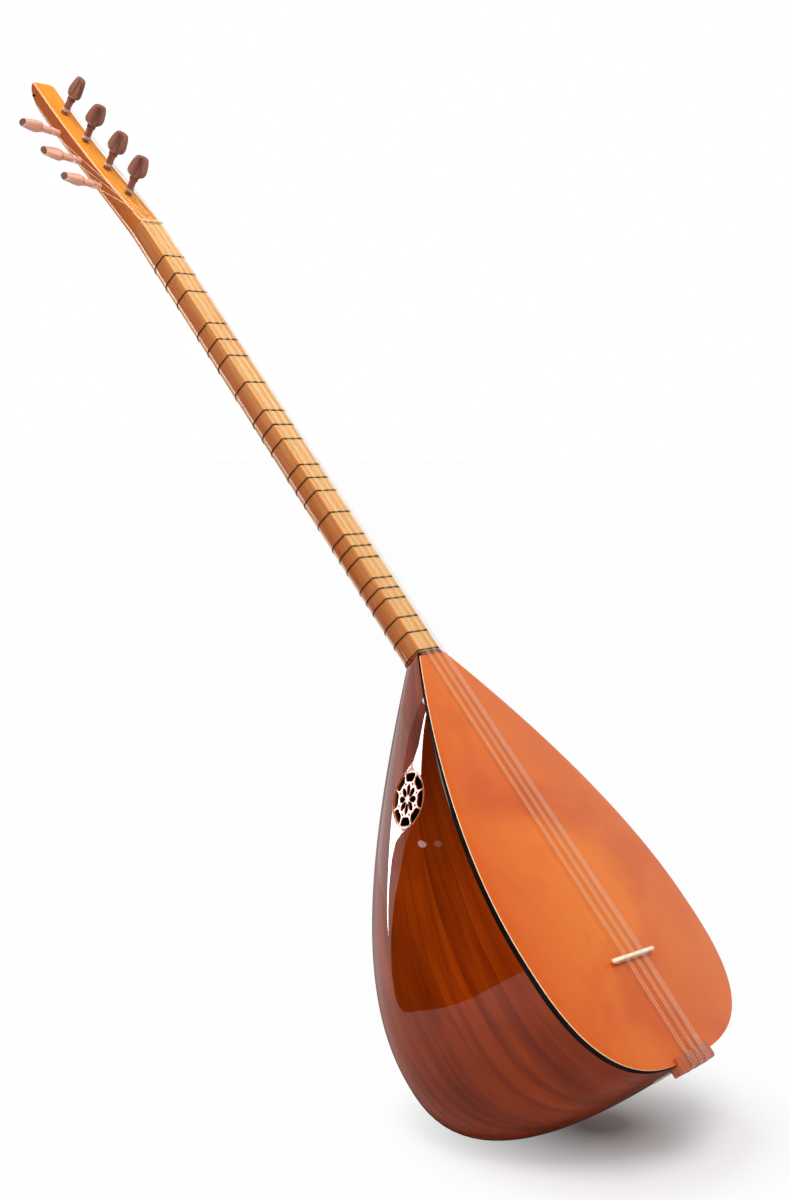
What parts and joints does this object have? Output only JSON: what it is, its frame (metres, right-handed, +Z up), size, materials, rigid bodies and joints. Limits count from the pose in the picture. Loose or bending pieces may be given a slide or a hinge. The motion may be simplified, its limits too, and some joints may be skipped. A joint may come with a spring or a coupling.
{
  "type": "long-necked saz",
  "caption": "Long-necked saz: deep stave-built pear bowl with a flat soundboard, slender neck with tied sliding frets, swept-back headstock with turning pegs, and a bridge held by its strings.",
  "frame": {"origin": "lowest point of the bowl's back, where what holds the saz up bears on it", "axes": "+Z up; the saz leans back at rest, its neck 41.25 degrees from upright towards +Y, its soundboard facing -Y and up; +X to the right of someone who looks at the soundboard"},
  "size_m": [0.255, 0.8239, 1.0064],
  "materials": {
    "lacquered_bowl": "high gloss clear lacquer over red-brown staves",
    "stained_spruce": "satin orange-brown stained spruce",
    "varnished_neck": "glossy clear varnish over yellow-brown wood",
    "orange_head": "glossy orange varnish",
    "black_edge": "gloss black",
    "bone": "polished bone white",
    "red_wood": "varnished red-brown hardwood",
    "peg_wood": "satin dark red-brown hardwood",
    "plain_spruce": "bare spruce",
    "plain_beech": "bare beech",
    "fret_line": "dark nylon line",
    "steel_string": "bright plain steel",
    "wound_string": "bronze wound on steel"
  },
  "bodies": {
    "body": {"bowl": "lacquered_bowl", "soundboard": "stained_spruce", "edge_binding": "black_edge", "left_lining": "plain_beech", "right_lining": "plain_beech", "upper_brace": "plain_spruce", "lower_brace": "plain_spruce", "neck_block": "red_wood", "tail_block": "plain_beech", "neck": "varnished_neck", "headstock": "orange_head", "nut": "bone", "tailpiece": "red_wood", "side_rosette": "lacquered_bowl", "tail_rosette": "lacquered_bowl", "tip_pin": "black_edge", "string_1": "wound_string", "string_2": "steel_string", "string_3": "wound_string", "string_4": "steel_string", "string_5": "steel_string", "string_6": "steel_string", "string_7": "steel_string"},
    "bridge": {"bridge": "bone"},
    "peg_1": {"peg_1": "peg_wood"},
    "peg_2": {"peg_2": "peg_wood"},
    "peg_3": {"peg_3": "peg_wood"},
    "peg_4": {"peg_4": "peg_wood"},
    "peg_5": {"peg_5": "peg_wood"},
    "peg_6": {"peg_6": "peg_wood"},
    "peg_7": {"peg_7": "peg_wood"},
    "fret_01": {"fret_01": "fret_line"},
    "fret_02": {"fret_02": "fret_line"},
    "fret_03": {"fret_03": "fret_line"},
    "fret_04": {"fret_04": "fret_line"},
    "fret_05": {"fret_05": "fret_line"},
    "fret_06": {"fret_06": "fret_line"},
    "fret_07": {"fret_07": "fret_line"},
    "fret_08": {"fret_08": "fret_line"},
    "fret_09": {"fret_09": "fret_line"},
    "fret_10": {"fret_10": "fret_line"},
    "fret_11": {"fret_11": "fret_line"},
    "fret_12": {"fret_12": "fret_line"},
    "fret_13": {"fret_13": "fret_line"},
    "fret_14": {"fret_14": "fret_line"},
    "fret_15": {"fret_15": "fret_line"},
    "fret_16": {"fret_16": "fret_line"},
    "fret_17": {"fret_17": "fret_line"},
    "fret_18": {"fret_18": "fret_line"},
    "fret_19": {"fret_19": "fret_line"},
    "fret_20": {"fret_20": "fret_line"},
    "fret_21": {"fret_21": "fret_line"},
    "fret_22": {"fret_22": "fret_line"},
    "fret_23": {"fret_23": "fret_line"}
  },
  "joints": [
    {"name": "bridge_shift", "type": "slide", "parent": "body", "child": "bridge", "axis": [0, 0.6593, 0.7518], "range_m": [-0.004, 0.004]},
    {"name": "peg_1_turn", "type": "hinge", "parent": "body", "child": "peg_1", "pos_m": [0, 0.47505, 0.87899], "axis": [-0.036, -0.5873, 0.8086], "continuous": true},
    {"name": "peg_2_turn", "type": "hinge", "parent": "body", "child": "peg_2", "pos_m": [0, 0.50699, 0.90777], "axis": [-0.0364, -0.6452, 0.7632], "continuous": true},
    {"name": "peg_3_turn", "type": "hinge", "parent": "body", "child": "peg_3", "pos_m": [0, 0.54011, 0.93912], "axis": [-0.0468, -0.6502, 0.7583], "continuous": true},
    {"name": "peg_4_turn", "type": "hinge", "parent": "body", "child": "peg_4", "pos_m": [0, 0.57215, 0.97113], "axis": [0, -0.6743, 0.7384], "continuous": true},
    {"name": "peg_5_turn", "type": "hinge", "parent": "body", "child": "peg_5", "pos_m": [-0.0141, 0.50182, 0.88757], "axis": [-0.9919, 0.024, 0.1246], "continuous": true},
    {"name": "peg_6_turn", "type": "hinge", "parent": "body", "child": "peg_6", "pos_m": [-0.0141, 0.53275, 0.91618], "axis": [-0.9919, 0.024, 0.1246], "continuous": true},
    {"name": "peg_7_turn", "type": "hinge", "parent": "body", "child": "peg_7", "pos_m": [-0.0141, 0.56546, 0.948], "axis": [-0.9919, 0.024, 0.1246], "continuous": true},
    {"name": "fret_01_shift", "type": "slide", "parent": "body", "child": "fret_01", "axis": [0, 0.6593, 0.7518], "range_m": [-0.002, 0.002]},
    {"name": "fret_02_shift", "type": "slide", "parent": "body", "child": "fret_02", "axis": [0, 0.6593, 0.7518], "range_m": [-0.002, 0.002]},
    {"name": "fret_03_shift", "type": "slide", "parent": "body", "child": "fret_03", "axis": [0, 0.6593, 0.7518], "range_m": [-0.002, 0.002]},
    {"name": "fret_04_shift", "type": "slide", "parent": "body", "child": "fret_04", "axis": [0, 0.6593, 0.7518], "range_m": [-0.002, 0.002]},
    {"name": "fret_05_shift", "type": "slide", "parent": "body", "child": "fret_05", "axis": [0, 0.6593, 0.7518], "range_m": [-0.002, 0.002]},
    {"name": "fret_06_shift", "type": "slide", "parent": "body", "child": "fret_06", "axis": [0, 0.6593, 0.7518], "range_m": [-0.002, 0.002]},
    {"name": "fret_07_shift", "type": "slide", "parent": "body", "child": "fret_07", "axis": [0, 0.6593, 0.7518], "range_m": [-0.002, 0.002]},
    {"name": "fret_08_shift", "type": "slide", "parent": "body", "child": "fret_08", "axis": [0, 0.6593, 0.7518], "range_m": [-0.002, 0.002]},
    {"name": "fret_09_shift", "type": "slide", "parent": "body", "child": "fret_09", "axis": [0, 0.6593, 0.7518], "range_m": [-0.002, 0.002]},
    {"name": "fret_10_shift", "type": "slide", "parent": "body", "child": "fret_10", "axis": [0, 0.6593, 0.7518], "range_m": [-0.002, 0.002]},
    {"name": "fret_11_shift", "type": "slide", "parent": "body", "child": "fret_11", "axis": [0, 0.6593, 0.7518], "range_m": [-0.002, 0.002]},
    {"name": "fret_12_shift", "type": "slide", "parent": "body", "child": "fret_12", "axis": [0, 0.6593, 0.7518], "range_m": [-0.002, 0.002]},
    {"name": "fret_13_shift", "type": "slide", "parent": "body", "child": "fret_13", "axis": [0, 0.6593, 0.7518], "range_m": [-0.002, 0.002]},
    {"name": "fret_14_shift", "type": "slide", "parent": "body", "child": "fret_14", "axis": [0, 0.6593, 0.7518], "range_m": [-0.002, 0.002]},
    {"name": "fret_15_shift", "type": "slide", "parent": "body", "child": "fret_15", "axis": [0, 0.6593, 0.7518], "range_m": [-0.002, 0.002]},
    {"name": "fret_16_shift", "type": "slide", "parent": "body", "child": "fret_16", "axis": [0, 0.6593, 0.7518], "range_m": [-0.002, 0.002]},
    {"name": "fret_17_shift", "type": "slide", "parent": "body", "child": "fret_17", "axis": [0, 0.6593, 0.7518], "range_m": [-0.002, 0.002]},
    {"name": "fret_18_shift", "type": "slide", "parent": "body", "child": "fret_18", "axis": [0, 0.6593, 0.7518], "range_m": [-0.002, 0.002]},
    {"name": "fret_19_shift", "type": "slide", "parent": "body", "child": "fret_19", "axis": [0, 0.6593, 0.7518], "range_m": [-0.002, 0.002]},
    {"name": "fret_20_shift", "type": "slide", "parent": "body", "child": "fret_20", "axis": [0, 0.6593, 0.7518], "range_m": [-0.002, 0.002]},
    {"name": "fret_21_shift", "type": "slide", "parent": "body", "child": "fret_21", "axis": [0, 0.6593, 0.7518], "range_m": [-0.002, 0.002]},
    {"name": "fret_22_shift", "type": "slide", "parent": "body", "child": "fret_22", "axis": [0, 0.6593, 0.7518], "range_m": [-0.002, 0.002]},
    {"name": "fret_23_shift", "type": "slide", "parent": "body", "child": "fret_23", "axis": [0, 0.6593, 0.7518], "range_m": [0, 0.002]}
  ]
}
